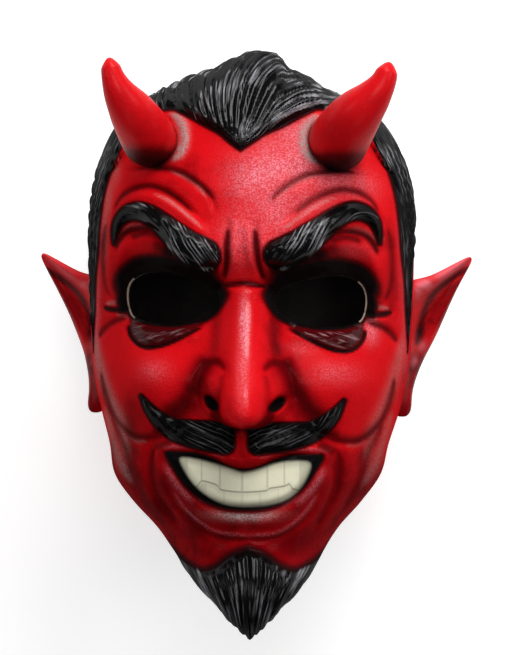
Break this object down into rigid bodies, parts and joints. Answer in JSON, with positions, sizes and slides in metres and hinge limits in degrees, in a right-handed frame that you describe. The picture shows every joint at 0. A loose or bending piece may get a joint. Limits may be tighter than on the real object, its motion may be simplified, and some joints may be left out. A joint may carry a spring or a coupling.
{
  "type": "devil mask",
  "caption": "Full-head latex devil mask with horns, pointed ears, swept hair, curled moustache and goatee, open at the eyes and below the jaw.",
  "frame": {"origin": "centre of the bounding box at the flat resting spot on the back of the head", "axes": "+Y from the goatee to the top of the head, +Z out of the face, +X across the face"},
  "size_m": [0.2202, 0.28, 0.2275],
  "materials": {
    "latex": "glossy red paint on cast latex, black hair, cream teeth"
  },
  "bodies": {
    "root": {"mask": "latex"}
  },
  "joints": []
}
